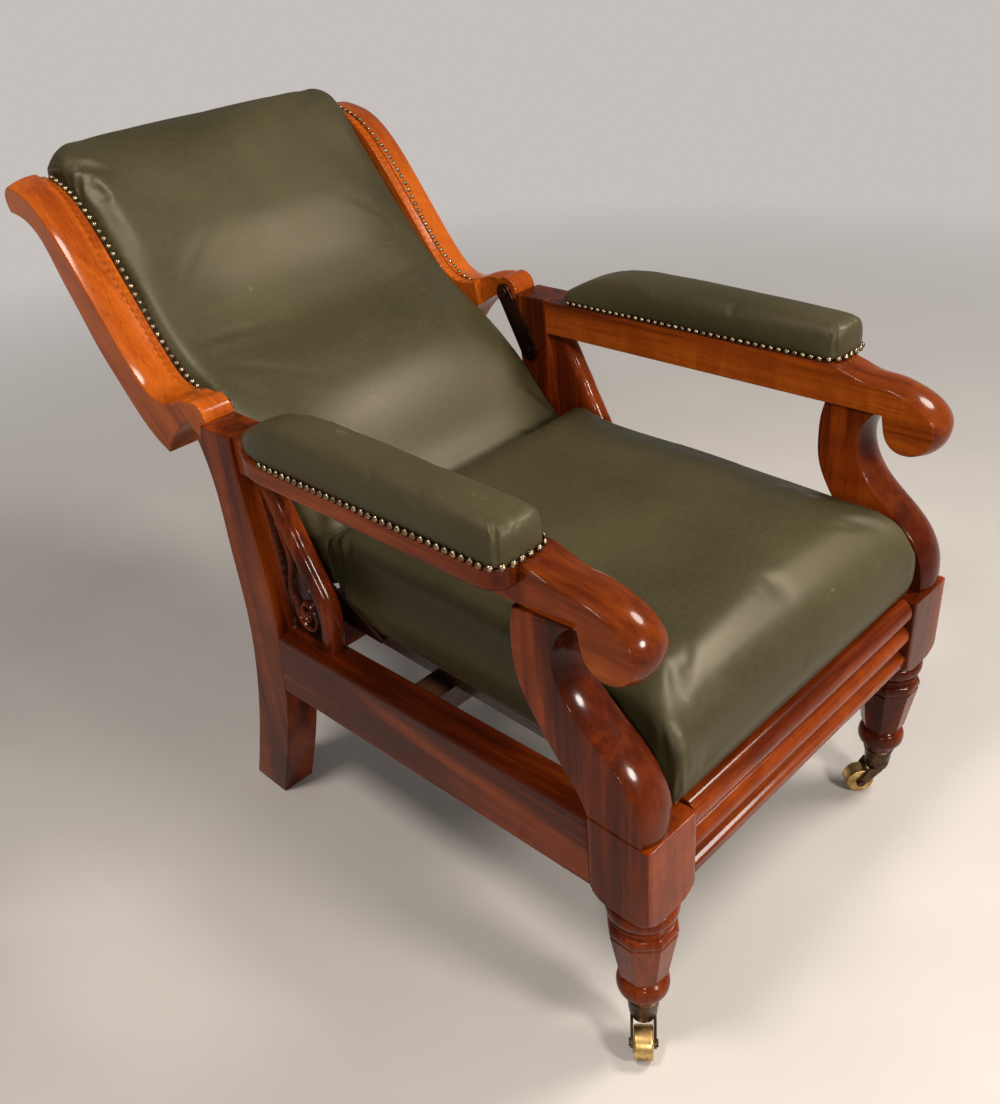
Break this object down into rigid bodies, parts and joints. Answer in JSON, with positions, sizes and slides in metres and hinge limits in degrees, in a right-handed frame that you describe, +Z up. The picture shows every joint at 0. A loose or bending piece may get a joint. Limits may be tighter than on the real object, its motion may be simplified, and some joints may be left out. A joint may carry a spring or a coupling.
{
  "type": "reclining armchair",
  "caption": "Low mahogany library armchair with scrolled arms, a leather back that reclines as the seat slides forward, and castors at the front.",
  "frame": {"origin": "on the floor, in the middle of the chair's width and of its reclined depth", "axes": "+Z up, the chair faces -Y, and +X is to the right seen from the front"},
  "size_m": [0.7196, 1.1881, 0.9696],
  "materials": {
    "mahogany": "french polished, glossy",
    "mahogany_light": "french polished, glossy",
    "inner_wood": "bare",
    "leather": "satin",
    "webbing": "woven",
    "nails": "antiqued",
    "brass": "aged polish",
    "steel": "dark, brushed"
  },
  "bodies": {
    "frame": {"back_leg_left": "mahogany", "back_leg_right": "mahogany", "side_rail_left": "mahogany", "side_rail_right": "mahogany", "seat_runner_left": "inner_wood", "seat_runner_right": "inner_wood", "front_leg_left": "mahogany", "front_leg_right": "mahogany", "castor_cup_left": "brass", "castor_cup_right": "brass", "arm_support_left": "mahogany", "arm_support_right": "mahogany", "arm_left": "mahogany", "arm_right": "mahogany", "arm_bracket_left": "mahogany", "arm_bracket_right": "mahogany", "arm_pad_left": "leather", "arm_pad_right": "leather", "pivot_plate_left": "steel", "pivot_plate_right": "steel", "pivot_pin_left": "steel", "pivot_pin_right": "steel", "front_rail": "mahogany", "rear_rail": "mahogany", "cross_rail": "inner_wood", "castor_spindles": "steel", "arm_nails": "nails", "plate_screws": "steel"},
    "back": {"back_stile_left": "mahogany_light", "back_stile_right": "mahogany_light", "back_side_left": "inner_wood", "back_side_right": "inner_wood", "drive_pin_left": "steel", "drive_pin_right": "steel", "back_bottom_rail": "inner_wood", "back_middle_rail": "inner_wood", "back_top_rail": "inner_wood", "back_webbing": "webbing", "back_cover": "leather", "back_cushion": "leather", "back_nails": "nails"},
    "seat": {"seat_side_left": "inner_wood", "seat_side_right": "inner_wood", "seat_slide_left": "inner_wood", "seat_slide_right": "inner_wood", "drive_plate_left": "steel", "drive_plate_right": "steel", "seat_frame_front": "inner_wood", "seat_frame_back": "inner_wood", "seat_webbing": "webbing", "seat_front_rail": "mahogany", "seat_cushion": "leather"},
    "castor_left": {"castor_horn_left": "brass", "castor_axle_left": "steel"},
    "castor_right": {"castor_horn_right": "brass", "castor_axle_right": "steel"},
    "wheel_left": {"castor_wheel_left": "brass"},
    "wheel_right": {"castor_wheel_right": "brass"}
  },
  "joints": [
    {"name": "back_recline", "type": "hinge", "parent": "frame", "child": "back", "pos_m": [0, 0.174, 0.664], "axis": [1, 0, 0], "range_deg": [0, 20]},
    {"name": "seat_slide", "type": "slide", "parent": "frame", "child": "seat", "axis": [0, 1, 0], "range_m": [0, 0.0795]},
    {"name": "castor_left_swivel", "type": "hinge", "parent": "frame", "child": "castor_left", "pos_m": [-0.2875, -0.5515, 0.045], "axis": [0, 0, 1], "continuous": true},
    {"name": "castor_left_roll", "type": "hinge", "parent": "castor_left", "child": "wheel_left", "pos_m": [-0.30785, -0.56768, 0.021], "axis": [-0.6222, 0.7828, 0], "continuous": true},
    {"name": "castor_right_swivel", "type": "hinge", "parent": "frame", "child": "castor_right", "pos_m": [0.2875, -0.5515, 0.045], "axis": [0, 0, 1], "continuous": true},
    {"name": "castor_right_roll", "type": "hinge", "parent": "castor_right", "child": "wheel_right", "pos_m": [0.26823, -0.53405, 0.021], "axis": [0.6712, 0.7413, 0], "continuous": true}
  ],
  "couplings": [
    {"joint": "seat_slide", "follows": "back_recline", "m_per_rad": 0.2277}
  ]
}
